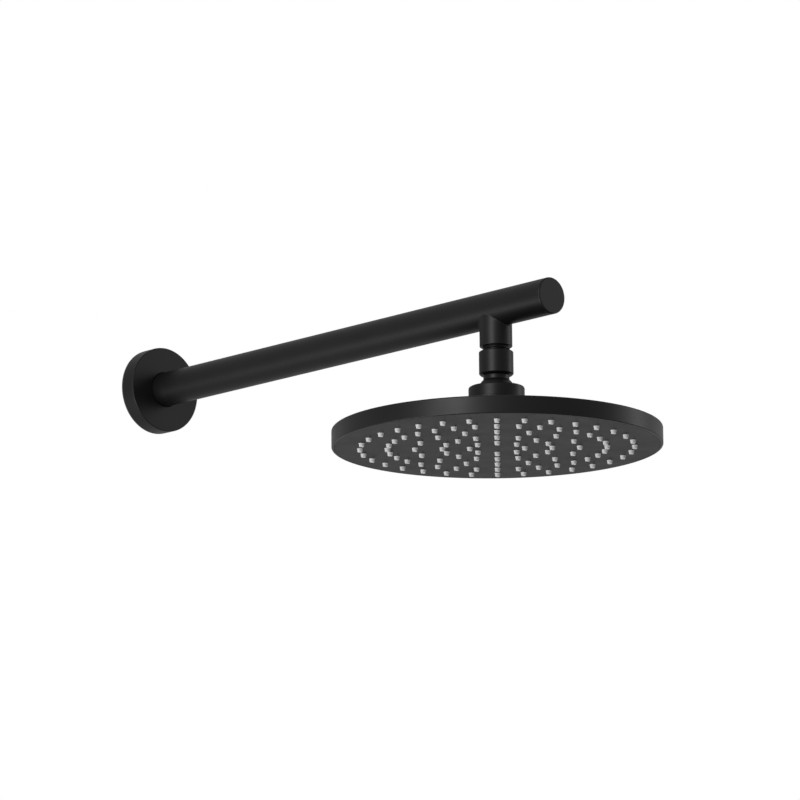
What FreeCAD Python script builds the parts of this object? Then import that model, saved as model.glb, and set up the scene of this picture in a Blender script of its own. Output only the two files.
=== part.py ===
"""Wall-mounted rain shower: a straight arm on a wall plate, and a round head that swivels on a ball.

Frame: the origin is the centre of the wall plate's back face, on the arm's axis. The wall is the
plane y = 0 and lies on the +Y side, the arm runs along -Y, and +Z is up. Millimetres.
"""

import FreeCAD, Part
import math
import os

V = FreeCAD.Vector

# ---- overall sizes ---------------------------------------------------------------------------
REACH = 400.0  # wall to the head's axis
OVERHANG = 60.0  # head's axis to the tip of the arm
HEAD_D = 250.0
RIM_HEIGHT = 13.3  # straight side of the head
HEAD_DROP = 27.1  # ball's centre to the top of the rim

# ---- clearances ------------------------------------------------------------------------------
FIT = 0.05  # radial, between pieces that are screwed or pushed together and stay put
SLIDE_FIT = 0.05  # radial, grip ring on the arm
BALL_FIT = 0.1  # radial, between the ball, its seat ring and the collar
SEAL_SQUEEZE = 0.02  # what a squeezed seal stands off the walls that it fills
SHIM = 0.3  # axial play where one piece stops against another

# ---- G 1/2 pipe thread, as its plain major cylinder --------------------------------------------
PIPE_THREAD_D = 20.955
THREAD_LEAD = 1.0  # lead-in chamfer

# ---- arm -------------------------------------------------------------------------------------
TUBE_D = 28.0
TUBE_WALL = 2.0
CAP_FACE = 2.5
CAP_PLUG = 6.0
CAP_CHAMFER = 1.0
CAP_WALL = 3.0
PORT_D = 13.0  # water way from the arm into the branch

# ---- wall plate and inlet ----------------------------------------------------------------------
PLATE_GAP = 3.0  # radial, plate to the flange's side
PLATE_THICK = 4.0
PLATE_HUB = 5.0
PLATE_WEB = 2.0  # floor of the plate's thread
SPIGOT_LENGTH = 20.0
WATERWAY_D = 12.0
SCREW_MARGIN = 7.0  # screw circle to the plate's edge
SCREW_HOLE_D = 4.5
SCREW_HEAD_D = 9.0
SCREW_COUNT = 4
NIPPLE_BEHIND_WALL = 16.0
NIPPLE_BORE_D = 13.0
NIPPLE_KEY = 14.0  # across the flats of the socket that turns the nipple in
NIPPLE_KEY_DEPTH = 6.0
RELIEF_WIDTH = 1.2
RELIEF_DEPTH = 1.2
O_RING_SECTION = 1.6
O_RING_WIDTH = 2.0
O_RING_GROOVE = 2.6
O_RING_OFFSETS = (7.5, 13.5)  # from the spigot's shoulder
SET_SCREW_D = 4.0
SET_SCREW_KEY = 2.0
SET_SCREW_KEY_DEPTH = 1.4
SET_SCREW_OFFSET = 2.6  # from the tube's end
SET_SCREW_BITE = 0.8
SET_SCREW_TIP_D = 2.4
SET_SCREW_ANGLES = (235.0, 305.0)  # about the arm, from +X towards +Z, so both face down

# ---- wall flange -------------------------------------------------------------------------------
FLANGE_D = 70.0
FLANGE_DEPTH = 14.0  # wall to the flange's front face
FLANGE_WALL = 2.0
FLANGE_FACE = 3.0
FLANGE_CHAMFER = 0.6
FLANGE_BORE_GAP = 0.4  # radial, flange to arm
FLANGE_HUB_WALL = 4.1
FLANGE_HUB_DEPTH = 4.4
GASKET_THICK = 1.0
GASKET_WIDTH = 2.2
GRIP_SECTION = 1.6
GRIP_WIDTH = 1.9
GRIP_GROOVE = 2.2

# ---- branch ------------------------------------------------------------------------------------
BRANCH_SHOULDER = 1.97  # radial, thread to the branch's side
BRANCH_DROP = 29.5  # arm's axis to the branch's lower face
BRANCH_CHAMFER = 0.5
BRANCH_BORE_D = 13.0
SPIGOT_DROP = 14.0  # threaded spigot below the branch

# ---- ball stem -----------------------------------------------------------------------------------
STEM_GAP = 3.7  # thread that shows between the branch and the stem
STEM_WALL = 2.55  # round the stem's thread
STEM_BODY = 18.4
STEM_TOP_CHAMFER = 0.6
STEM_FOOT_CHAMFER = 1.1
STEM_THREAD_DEPTH = 13.3
NECK_D = 19.85
NECK_FILLET = 0.8
NECK_LENGTH = 3.55
BALL_D = 30.0
BALL_FLAT_CUT = 0.8  # what the flat takes off the foot of the ball
BALL_BORE_D = 8.0
REGULATOR_D = 15.0
REGULATOR_DEPTH = 4.4
REGULATOR_HOLE_D = 2.0
REGULATOR_HOLES = 6
WASHER_BORE_D = 13.0
SCREEN_THICK = 0.4
SCREEN_D = 20.0
SCREEN_HOLE_D = 1.0
SCREEN_HOLE_PITCH = 1.75
SCREEN_RINGS = 3

# ---- seat ring, collar and seal --------------------------------------------------------------------
SEAT_THICK = 1.3
SEAT_TOP = 0.5  # below the ball's centre
SEAT_FOOT = 5.5
COLLAR_WALL = 4.8
COLLAR_TOP = 5.6  # above the ball's centre
COLLAR_LIP = 1.6
COLLAR_SHOULDER = 4.2  # below the ball's centre
COLLAR_FILLET = 1.5
COLLAR_SKIRT_WALL = 2.4
SEAL_THICK = 3.0
SEAL_LIP = 1.08  # height of the seal's bore
SEAL_BORE_D = 18.8
SEAL_RIM_D = 26.8
SKIRT_MARGIN = 0.6  # how far the collar's skirt reaches below the seal

# ---- head --------------------------------------------------------------------------------------
COVER_WALL = 2.0
RIM_FILLET_TOP = 1.2
RIM_FILLET_FOOT = 0.8
DOME_RISE = 7.0  # rim's top to the shoulder of the hub
DOME_CROWN = 1.6  # how far the dome stands over its chord
HUB_FLARE = 23.0  # from the hub's side to where the dome starts
HUB_FOOT = 11.6  # ball's centre to where the hub's side starts to flare
HUB_MARGIN = 3.6  # hub's side outside the collar
FLARE_SAG = 2.6  # how far the flare hangs under its chord
FACE_THICK = 2.0
FACE_GAP = 0.1  # radial, face plate to cover
MAT_THICK = 1.5
NOZZLE_PITCH = 20.7  # between the nozzle rings
NOZZLE_FIRST_RING = 8  # nozzles on the innermost ring
NOZZLE_ROOT_D = 4.5
NOZZLE_BASE_D = 4.2
NOZZLE_TIP_D = 3.5
NOZZLE_STAND = 2.6  # below the face
NOZZLE_BORE_D = 1.2
NOZZLE_HOLE_GAP = 0.1  # radial, nozzle to its hole in the face plate
NOZZLE_MARGIN = 14.0  # outermost ring to the chamber's wall, at least
CHAMBER_ROOF = 2.0
CHAMBER_WALL = 2.0
CHAMBER_FLANGE = 7.4
CHAMBER_EDGE_GAP = 3.6  # chamber's flange to the cover's side
CHAMBER_DEPTH = 3.3  # water space over the mat at the wall
CHAMBER_PEAK = 6.0  # how much higher the roof is at the boss
CHAMBER_BOSS_WALL = 3.6
CHAMBER_RIBS = 8
RIB_THICK = 1.6
RIB_HEIGHT = 2.2
POST_D = 6.4
POST_PILOT_D = 2.4
CASE_SCREW_COUNT = 8
CASE_SCREW_D = 2.3
CASE_SCREW_HEAD_D = 5.4
CASE_SCREW_HEAD = 1.8
CASE_SCREW_LENGTH = 6.0
CASE_SCREW_HOLE_D = 3.2
CASE_SCREW_SLOT = 0.7

# ---- radii and places worked out from the sizes above ------------------------------------------------
tube_r = TUBE_D / 2
tube_inner_r = tube_r - TUBE_WALL
thread_r = PIPE_THREAD_D / 2
thread_bore_r = thread_r + FIT
plate_shoulder = PLATE_THICK + PLATE_HUB
tube_start = plate_shoulder + SHIM
thread_floor = plate_shoulder - PLATE_WEB
tip = REACH + OVERHANG
spigot_r = tube_inner_r - FIT
spigot_end = plate_shoulder + SPIGOT_LENGTH
set_screw_at = tube_start + SET_SCREW_OFFSET
o_rings_at = [plate_shoulder + offset for offset in O_RING_OFFSETS]

flange_inner_r = FLANGE_D / 2 - FLANGE_WALL
plate_r = flange_inner_r - PLATE_GAP
screw_circle_r = plate_r - SCREW_MARGIN
flange_bore_r = tube_r + FLANGE_BORE_GAP
flange_hub_back = FLANGE_DEPTH - FLANGE_HUB_DEPTH
grip_at = FLANGE_DEPTH - FLANGE_HUB_DEPTH / 2
grip_groove_r = flange_bore_r + GRIP_SECTION

branch_r = thread_r + BRANCH_SHOULDER
branch_foot = -BRANCH_DROP
spigot_foot = branch_foot - SPIGOT_DROP
stem_top = branch_foot - STEM_GAP
stem_foot = stem_top - STEM_BODY
stem_thread_foot = stem_top - STEM_THREAD_DEPTH
ball_r = BALL_D / 2
neck_r = NECK_D / 2
neck_foot = stem_foot - NECK_LENGTH
ball_z = neck_foot - math.sqrt(ball_r**2 - neck_r**2)

seat_inner_r = ball_r + BALL_FIT
seat_outer_r = seat_inner_r + SEAT_THICK
cavity_r = seat_outer_r + BALL_FIT
collar_r = cavity_r + COLLAR_WALL
skirt_r = cavity_r + COLLAR_SKIRT_WALL
collar_top = ball_z + COLLAR_TOP
collar_shoulder = ball_z - COLLAR_SHOULDER
seal_bore_r = SEAL_BORE_D / 2
seal_rim_r = SEAL_RIM_D / 2
seal_foot = math.sqrt(seat_inner_r**2 - seal_bore_r**2) + SEAL_LIP  # below the ball's centre
seal_top = seal_foot - SEAL_THICK
skirt_foot = ball_z - seal_foot - SKIRT_MARGIN

head_r = HEAD_D / 2
rim_top = ball_z - HEAD_DROP
rim_foot = rim_top - RIM_HEIGHT
cover_inner_r = head_r - COVER_WALL
hub_r = collar_r + HUB_MARGIN
hub_top = collar_shoulder - FIT
hub_hole_r = skirt_r + SHIM
face_top = rim_foot + FACE_THICK
mat_top = face_top + MAT_THICK
roof_low = mat_top + CHAMBER_DEPTH
flange_top = roof_low + CHAMBER_ROOF
chamber_edge_r = cover_inner_r - CHAMBER_EDGE_GAP
chamber_wall_r = chamber_edge_r - CHAMBER_FLANGE
post_circle_r = chamber_wall_r + POST_D / 2 + SHIM
boss_bore_r = skirt_r + FIT
boss_r = boss_bore_r + CHAMBER_BOSS_WALL
boss_top = hub_top - COVER_WALL - FIT
ring_count = int((chamber_wall_r - CHAMBER_WALL - NOZZLE_MARGIN) / NOZZLE_PITCH + 0.5)


# ---- helpers -----------------------------------------------------------------------------------
def outline_face(start, steps, place):
    """A flat face from (radius, along) points. A step is a point, or (via, end) for an arc."""
    edges = []
    here = start
    for step in list(steps) + [start]:
        is_arc = isinstance(step[0], tuple)
        end = step[1] if is_arc else step
        if math.dist(here, end) < 1e-6:
            continue
        if is_arc:
            edges.append(Part.Arc(place(here), place(step[0]), place(end)).toShape())
        else:
            edges.append(Part.LineSegment(place(here), place(end)).toShape())
        here = end
    return Part.Face(Part.Wire(edges))


def turned_about_arm(start, *steps):
    """Revolves (radius, distance from the wall) points about the arm's axis."""
    face = outline_face(start, steps, lambda p: V(p[0], -p[1], 0))
    return face.revolve(V(0, 0, 0), V(0, 1, 0), 360)


def turned_about_drop(start, *steps):
    """Revolves (radius, height) points about the vertical axis of the head."""
    face = outline_face(start, steps, lambda p: V(p[0], -REACH, p[1]))
    return face.revolve(V(0, -REACH, 0), V(0, 0, 1), 360)


def arm_cylinder(radius, start, end):
    """A cylinder on the arm's axis between two distances from the wall."""
    return Part.makeCylinder(radius, end - start, V(0, -start, 0), V(0, -1, 0))


def drop_cylinder(radius, low, high, x=0.0, y=0.0):
    """A vertical cylinder, placed from the head's axis."""
    return Part.makeCylinder(radius, high - low, V(x, y - REACH, low), V(0, 0, 1))


def around(radius, count, first_angle=0.0):
    """(x, y) of points spaced evenly on a circle."""
    turns = [math.radians(first_angle + 360.0 * i / count) for i in range(count)]
    return [(radius * math.cos(a), radius * math.sin(a)) for a in turns]


def soft_ring(turn, inner, outer, middle, width):
    """A ring of rubber with rounded sides, squeezed between two walls. turn revolves its outline."""
    crown = (outer - inner) / 2
    low = middle - width / 2 + crown
    high = middle + width / 2 - crown
    centre = (inner + outer) / 2
    lower_side = ((centre, low - crown), (inner, low))
    upper_side = ((centre, high + crown), (outer, high))
    return turn((outer, low), lower_side, (inner, high), upper_side)


def hexagon_prism(flats, base, direction, length):
    """A hexagonal bar, for cutting a key's socket."""
    radius = flats / math.sqrt(3)
    bar = Part.makePolygon([V(x, y, 0) for x, y in around(radius, 6)] + [V(radius, 0, 0)])
    solid = Part.Face(bar).extrude(V(0, 0, length))
    solid.Placement = FreeCAD.Placement(base, FreeCAD.Rotation(V(0, 0, 1), direction))
    return solid


def sphere_radius_at(radius, height):
    """The radius of a sphere's circle at a height above its centre."""
    return math.sqrt(radius**2 - height**2)


def nozzle_places():
    """(x, y) of every nozzle: rings one pitch apart, whose counts double at every second ring."""
    places = []
    for ring in range(1, ring_count + 1):
        places += around(ring * NOZZLE_PITCH, NOZZLE_FIRST_RING * 2 ** (ring // 2))
    return places


# ---- wall plate and inlet ----------------------------------------------------------------------
def wall_plate():
    """Disc screwed to the wall, with a hub for the inlet nipple and a spigot that the arm fits."""
    mouth = thread_bore_r + THREAD_LEAD
    body = turned_about_arm(
        (mouth, 0),
        (plate_r, 0),
        (plate_r, PLATE_THICK),
        (tube_r, PLATE_THICK),
        (tube_r, plate_shoulder),
        (spigot_r, plate_shoulder),
        (spigot_r, spigot_end - THREAD_LEAD),
        (spigot_r - THREAD_LEAD, spigot_end),
        (WATERWAY_D / 2, spigot_end),
        (WATERWAY_D / 2, thread_floor),
        (thread_bore_r, thread_floor),
        (thread_bore_r, THREAD_LEAD),
    )
    cuts = [groove(middle, O_RING_GROOVE, O_RING_SECTION) for middle in o_rings_at]
    cuts.append(groove(set_screw_at, SET_SCREW_D + 2 * FIT, SET_SCREW_BITE))
    sink = (SCREW_HEAD_D - SCREW_HOLE_D) / 2
    for x, z in around(screw_circle_r, SCREW_COUNT, 45.0):
        cuts.append(Part.makeCylinder(SCREW_HOLE_D / 2, PLATE_THICK, V(x, 0, z), V(0, -1, 0)))
        rim = V(x, sink - PLATE_THICK, z)
        cuts.append(Part.makeCone(SCREW_HOLE_D / 2, SCREW_HEAD_D / 2, sink, rim, V(0, -1, 0)))
    return body.cut(cuts)


def groove(middle, width, depth):
    """What a groove takes off the plate's spigot."""
    start, end = middle - width / 2, middle + width / 2
    ring = arm_cylinder(spigot_r + FIT, start, end)
    return ring.cut(arm_cylinder(spigot_r - depth, start, end))


def inlet_nipple():
    """Threaded pipe from the wall's elbow into the plate, with a socket for a hexagon key."""
    inner_end = thread_floor - SHIM
    relief_r = thread_r - RELIEF_DEPTH
    lead_r = thread_r - THREAD_LEAD
    body = turned_about_arm(
        (NIPPLE_BORE_D / 2, -NIPPLE_BEHIND_WALL),
        (lead_r, -NIPPLE_BEHIND_WALL),
        (thread_r, THREAD_LEAD - NIPPLE_BEHIND_WALL),
        (thread_r, 0),
        (relief_r, 0),
        (relief_r, RELIEF_WIDTH),
        (thread_r, RELIEF_WIDTH),
        (thread_r, inner_end - THREAD_LEAD),
        (lead_r, inner_end),
        (NIPPLE_BORE_D / 2, inner_end),
    )
    socket = hexagon_prism(NIPPLE_KEY, V(0, -inner_end, 0), V(0, 1, 0), NIPPLE_KEY_DEPTH)
    return body.cut(socket)


def plate_o_rings():
    """The two seals between the plate's spigot and the arm."""
    inner = spigot_r - O_RING_SECTION + SEAL_SQUEEZE
    outer = tube_inner_r - SEAL_SQUEEZE
    rings = [soft_ring(turned_about_arm, inner, outer, at, O_RING_WIDTH) for at in o_rings_at]
    return Part.makeCompound(rings)


def set_screw_axes():
    """(x, z) directions from the arm's axis to its set screws."""
    turns = [math.radians(a) for a in SET_SCREW_ANGLES]
    return [V(math.cos(a), 0, math.sin(a)) for a in turns]


def set_screws():
    """Headless screws through the arm's wall, whose tips lock in the spigot's groove."""
    screws = []
    top = tube_r - FIT
    tip_r = spigot_r - SET_SCREW_BITE + FIT
    waist_r = tube_inner_r
    for out in set_screw_axes():
        centre = V(0, -set_screw_at, 0)
        shank_r = SET_SCREW_D / 2 - FIT
        shank = Part.makeCylinder(shank_r, top - waist_r, centre + out * waist_r, out)
        point = Part.makeCone(
            SET_SCREW_TIP_D / 2, shank_r, waist_r - tip_r, centre + out * tip_r, out
        )
        key = hexagon_prism(SET_SCREW_KEY, centre + out * top, out * -1, SET_SCREW_KEY_DEPTH)
        screws.append(shank.fuse(point).cut(key).removeSplitter())
    return Part.makeCompound(screws)


# ---- wall flange -------------------------------------------------------------------------------
def wall_flange():
    """Cup that hides the wall plate and slides along the arm."""
    outer = FLANGE_D / 2
    inner = flange_inner_r
    hub = flange_bore_r + FLANGE_HUB_WALL
    gasket_inner = outer - (FLANGE_WALL + GASKET_WIDTH) / 2
    body = turned_about_arm(
        (max(gasket_inner, inner), GASKET_THICK),
        (outer, GASKET_THICK),
        (outer, FLANGE_DEPTH - FLANGE_CHAMFER),
        (outer - FLANGE_CHAMFER, FLANGE_DEPTH),
        (flange_bore_r + FLANGE_CHAMFER, FLANGE_DEPTH),
        (flange_bore_r, FLANGE_DEPTH - FLANGE_CHAMFER),
        (flange_bore_r, flange_hub_back),
        (hub, flange_hub_back),
        (hub, FLANGE_DEPTH - FLANGE_FACE),
        (inner, FLANGE_DEPTH - FLANGE_FACE),
        (inner, GASKET_THICK),
    )
    start, end = grip_at - GRIP_GROOVE / 2, grip_at + GRIP_GROOVE / 2
    return body.cut(arm_cylinder(grip_groove_r, start, end))


def flange_grip_ring():
    """Rubber ring in the flange's bore, which grips the arm."""
    inner = tube_r + SLIDE_FIT
    outer = grip_groove_r - SEAL_SQUEEZE
    return soft_ring(turned_about_arm, inner, outer, grip_at, GRIP_WIDTH)


def flange_gasket():
    """Foam ring between the flange and the wall."""
    outer = FLANGE_D / 2 - FIT
    inner = outer - GASKET_WIDTH
    ring = arm_cylinder(outer, 0, GASKET_THICK)
    return ring.cut(arm_cylinder(inner, 0, GASKET_THICK))


# ---- arm ---------------------------------------------------------------------------------------
def arm_tube():
    """The straight pipe, with a port for the branch and two tapped holes."""
    end = tip - CAP_FACE
    tube = arm_cylinder(tube_r, tube_start, end).cut(arm_cylinder(tube_inner_r, tube_start, end))
    cuts = [drop_cylinder(PORT_D / 2, -tube_r - FIT, 0)]
    for out in set_screw_axes():
        centre = V(0, -set_screw_at, 0)
        cuts.append(Part.makeCylinder(SET_SCREW_D / 2, tube_r + FIT, centre, out))
    return tube.cut(cuts)


def end_cap():
    """Plug that closes the tip of the arm."""
    plug_r = tube_inner_r - FIT
    plug_start = tip - CAP_FACE - CAP_PLUG
    return turned_about_arm(
        (0, tip),
        (tube_r - CAP_CHAMFER, tip),
        (tube_r, tip - CAP_CHAMFER),
        (tube_r, tip - CAP_FACE),
        (plug_r, tip - CAP_FACE),
        (plug_r, plug_start),
        (plug_r - CAP_WALL, plug_start),
        (plug_r - CAP_WALL, tip - CAP_FACE),
        (0, tip - CAP_FACE),
    )


def branch_outlet():
    """Turned outlet, brazed under the arm, that ends in a threaded spigot."""
    bore = BRANCH_BORE_D / 2
    body = turned_about_drop(
        (bore, 0),
        (branch_r, 0),
        (branch_r, branch_foot + BRANCH_CHAMFER),
        (branch_r - BRANCH_CHAMFER, branch_foot),
        (thread_r, branch_foot),
        (thread_r, spigot_foot + THREAD_LEAD),
        (thread_r - THREAD_LEAD, spigot_foot),
        (bore, spigot_foot),
    )
    saddle = arm_cylinder(tube_r + SEAL_SQUEEZE, REACH - 2 * branch_r, REACH + 2 * branch_r)
    lower = body.cut(saddle)
    return max(lower.Solids, key=lambda s: s.Volume)


# ---- ball stem -----------------------------------------------------------------------------------
def ball_stem():
    """Threaded coupling, neck and ball, turned in one piece and drilled for the water."""
    body_r = thread_bore_r + STEM_WALL
    regulator_r = REGULATOR_D / 2 + FIT
    regulator_foot = stem_thread_foot - REGULATOR_DEPTH - SHIM
    bore = BALL_BORE_D / 2
    flat_drop = ball_r - BALL_FLAT_CUT
    flat_z = ball_z - flat_drop
    body = turned_about_drop(
        (thread_bore_r, stem_top),
        (body_r - STEM_TOP_CHAMFER, stem_top),
        (body_r, stem_top - STEM_TOP_CHAMFER),
        (body_r, stem_foot + STEM_FOOT_CHAMFER),
        (body_r - STEM_FOOT_CHAMFER, stem_foot),
        (neck_r, stem_foot),
        (neck_r, neck_foot),
        ((ball_r, ball_z), (sphere_radius_at(ball_r, flat_drop), flat_z)),
        (bore, flat_z),
        (bore, regulator_foot),
        (regulator_r, regulator_foot),
        (regulator_r, stem_thread_foot),
        (thread_bore_r, stem_thread_foot),
    )
    seams = [e for e in body.Edges if is_level_circle(e, neck_r, neck_foot)]
    return body.makeFillet(NECK_FILLET, seams)


def is_level_circle(edge, radius, height):
    """Whether an edge is a full level circle on the head's axis, of that radius and height."""
    if not isinstance(edge.Curve, Part.Circle):
        return False
    return abs(edge.Curve.Radius - radius) < 1e-4 and abs(edge.Curve.Center.z - height) < 1e-4


def filter_screen():
    """Perforated disc under the spigot's mouth."""
    top = spigot_foot - SEAL_SQUEEZE
    disc = drop_cylinder(SCREEN_D / 2, top - SCREEN_THICK, top)
    holes = [(0.0, 0.0)]
    for ring in range(1, SCREEN_RINGS + 1):
        holes += around(ring * SCREEN_HOLE_PITCH, 6 * ring)
    return disc.cut([drop_cylinder(SCREEN_HOLE_D / 2, top - 1, top, x, y) for x, y in holes])


def inlet_washer():
    """Rubber washer between the screen and the floor of the stem's thread."""
    top = spigot_foot - SCREEN_THICK - 2 * SEAL_SQUEEZE
    foot = stem_thread_foot + SEAL_SQUEEZE
    ring = drop_cylinder(SCREEN_D / 2, foot, top)
    return ring.cut(drop_cylinder(WASHER_BORE_D / 2, foot, top))


def flow_regulator():
    """Moulded disc that limits the flow, with a ring of small water ways and a finger stub."""
    top = stem_thread_foot - SEAL_SQUEEZE
    foot = stem_thread_foot - REGULATOR_DEPTH
    radius = REGULATOR_D / 2
    recess = REGULATOR_DEPTH / 2
    body = turned_about_drop(
        (0, foot),
        (radius, foot),
        (radius, top),
        (radius - 1.2, top),
        (radius - 1.2, top - recess),
        (1.5, top - recess),
        (1.5, top),
        (0, top),
    )
    spots = around(radius * 0.55, REGULATOR_HOLES)
    return body.cut([drop_cylinder(REGULATOR_HOLE_D / 2, foot, top, x, y) for x, y in spots])


# ---- what holds the head on the ball ---------------------------------------------------------------
def seat_ring():
    """Slippery ring round the ball, with a ball-shaped face inside and out."""
    top, foot = ball_z - SEAT_TOP, ball_z - SEAT_FOOT
    middle = (SEAT_TOP + SEAT_FOOT) / 2
    return turned_about_drop(
        (sphere_radius_at(seat_inner_r, SEAT_TOP), top),
        (sphere_radius_at(seat_outer_r, SEAT_TOP), top),
        (
            (sphere_radius_at(seat_outer_r, middle), ball_z - middle),
            (sphere_radius_at(seat_outer_r, SEAT_FOOT), foot),
        ),
        (sphere_radius_at(seat_inner_r, SEAT_FOOT), foot),
        (
            (sphere_radius_at(seat_inner_r, middle), ball_z - middle),
            (sphere_radius_at(seat_inner_r, SEAT_TOP), top),
        ),
    )


def retaining_collar():
    """Cap that holds the ball in the head and clamps the cover, with a threaded skirt."""
    lip = COLLAR_TOP - COLLAR_LIP
    lip_middle = COLLAR_TOP - COLLAR_LIP / 2
    lip_top_r = sphere_radius_at(seat_inner_r, COLLAR_TOP)
    edge = collar_r - COLLAR_FILLET
    bend = COLLAR_FILLET * (1 - math.sqrt(0.5))
    return turned_about_drop(
        (lip_top_r, collar_top),
        (edge, collar_top),
        ((collar_r - bend, collar_top - bend), (collar_r, collar_top - COLLAR_FILLET)),
        (collar_r, collar_shoulder),
        (skirt_r, collar_shoulder),
        (skirt_r, skirt_foot),
        (cavity_r, skirt_foot),
        (cavity_r, ball_z),
        (
            (sphere_radius_at(cavity_r, lip / 2), ball_z + lip / 2),
            (sphere_radius_at(cavity_r, lip), ball_z + lip),
        ),
        (sphere_radius_at(seat_inner_r, lip), ball_z + lip),
        (
            (sphere_radius_at(seat_inner_r, lip_middle), ball_z + lip_middle),
            (lip_top_r, collar_top),
        ),
    )


def ball_seal():
    """Rubber ring in the chamber's seat that keeps the water in round the ball."""
    rim = seal_rim_r - FIT
    lip_height = seal_foot - SEAL_LIP
    lip_middle = (seal_top + lip_height) / 2
    return turned_about_drop(
        (seal_bore_r, ball_z - seal_foot),
        (rim, ball_z - seal_foot),
        (rim, ball_z - seal_top),
        (sphere_radius_at(seat_inner_r, seal_top), ball_z - seal_top),
        (
            (sphere_radius_at(seat_inner_r, lip_middle), ball_z - lip_middle),
            (seal_bore_r, ball_z - lip_height),
        ),
    )


# ---- head --------------------------------------------------------------------------------------
def cover_outline(inset):
    """The cover's outer profile, or the profile one wall inside it."""
    side = head_r - inset
    neck = hub_r - inset
    dome_end = (hub_r + HUB_FLARE, rim_top + DOME_RISE - inset)
    rim_corner = (side, rim_top - inset)
    flare_end = (neck, ball_z - HUB_FOOT - inset)
    dome_mid = (
        (rim_corner[0] + dome_end[0]) / 2,
        (rim_corner[1] + dome_end[1]) / 2 + DOME_CROWN,
    )
    flare_mid = (
        (dome_end[0] + flare_end[0]) / 2 - FLARE_SAG / 2,
        (dome_end[1] + flare_end[1]) / 2 - FLARE_SAG,
    )
    return rim_corner, (dome_mid, dome_end), (flare_mid, flare_end), neck


def head_cover():
    """Shell of the head: rim, shallow dome and hub, in one moulding."""
    rim_corner, dome, flare, neck = cover_outline(0)
    outer = turned_about_drop(
        (0, rim_foot), (rim_corner[0], rim_foot), rim_corner, dome, flare, (neck, hub_top), (0, hub_top)
    )
    edges = {
        rim_top: RIM_FILLET_TOP,
        rim_foot: RIM_FILLET_FOOT,
    }
    for height, size in edges.items():
        ring = [e for e in outer.Edges if is_level_circle(e, head_r, height)]
        outer = outer.makeFillet(size, ring)
    rim_corner, dome, flare, neck = cover_outline(COVER_WALL)
    ceiling = hub_top - COVER_WALL
    inner = turned_about_drop(
        (0, rim_foot), (rim_corner[0], rim_foot), rim_corner, dome, flare, (neck, ceiling), (0, ceiling)
    )
    hole = drop_cylinder(hub_hole_r, ceiling - 1, hub_top + 1)
    return outer.cut([inner, hole])


def roof_height(radius):
    """Height of the chamber's ceiling at a radius: a cone that climbs to the boss."""
    share = (chamber_wall_r - radius) / (chamber_wall_r - boss_r)
    return roof_low + CHAMBER_PEAK * share


def water_chamber():
    """Back of the water space, with the boss that takes the collar and the seat for the seal."""
    seat_r = cavity_r - 2 * FIT
    seat_top = ball_z - seal_top + 2 * FIT + SHIM
    pocket_foot = ball_z - seal_foot - FIT
    trench_foot = skirt_foot - SHIM
    passage = seal_bore_r + SHIM
    inner_wall = chamber_wall_r - CHAMBER_WALL
    body = turned_about_drop(
        (passage, roof_height(boss_r)),
        (passage, pocket_foot),
        (seal_rim_r, pocket_foot),
        (seal_rim_r, seat_top),
        (seat_r, seat_top),
        (seat_r, trench_foot),
        (boss_bore_r, trench_foot),
        (boss_bore_r, boss_top),
        (boss_r, boss_top),
        (boss_r, roof_height(boss_r) + CHAMBER_ROOF),
        (chamber_wall_r, flange_top),
        (chamber_edge_r, flange_top),
        (chamber_edge_r, roof_low),
        (chamber_wall_r, roof_low),
        (chamber_wall_r, mat_top),
        (inner_wall, mat_top),
        (inner_wall, roof_height(inner_wall)),
        (boss_r, roof_height(boss_r)),
    )
    ribs = []
    rib_start, rib_end = boss_r - 1, chamber_wall_r - 1
    for i in range(CHAMBER_RIBS):
        corners = [
            (rib_start, roof_height(rib_start) + CHAMBER_ROOF / 2),
            (rib_end, roof_low + CHAMBER_ROOF / 2),
            (rib_end, roof_height(rib_end) + CHAMBER_ROOF + RIB_HEIGHT / 3),
            (rib_start, roof_height(rib_start) + CHAMBER_ROOF + RIB_HEIGHT),
        ]
        points = [V(r, -RIB_THICK / 2, z) for r, z in corners]
        rib = Part.Face(Part.makePolygon(points + points[:1])).extrude(V(0, RIB_THICK, 0))
        rib.rotate(V(0, 0, 0), V(0, 0, 1), 360.0 * (i + 0.5) / CHAMBER_RIBS)
        rib.translate(V(0, -REACH, 0))
        ribs.append(rib)
    body = body.fuse(ribs).removeSplitter()
    holes = [
        drop_cylinder(CASE_SCREW_HOLE_D / 2, roof_low - 1, flange_top + RIB_HEIGHT, x, y)
        for x, y in around(post_circle_r, CASE_SCREW_COUNT)
    ]
    return body.cut(holes)


def face_plate():
    """Flat spray plate, with a hole for each nozzle and posts for the case screws."""
    disc = drop_cylinder(cover_inner_r - FACE_GAP, rim_foot, face_top)
    posts = [
        drop_cylinder(POST_D / 2, face_top, roof_low - SEAL_SQUEEZE, x, y)
        for x, y in around(post_circle_r, CASE_SCREW_COUNT)
    ]
    hole_r = NOZZLE_ROOT_D / 2 + NOZZLE_HOLE_GAP
    cuts = [drop_cylinder(hole_r, rim_foot - 1, face_top + 1, x, y) for x, y in nozzle_places()]
    cuts += [
        drop_cylinder(POST_PILOT_D / 2, face_top - FACE_THICK / 2, roof_low + 1, x, y)
        for x, y in around(post_circle_r, CASE_SCREW_COUNT)
    ]
    return disc.fuse(posts).removeSplitter().cut(Part.makeCompound(cuts))


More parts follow.
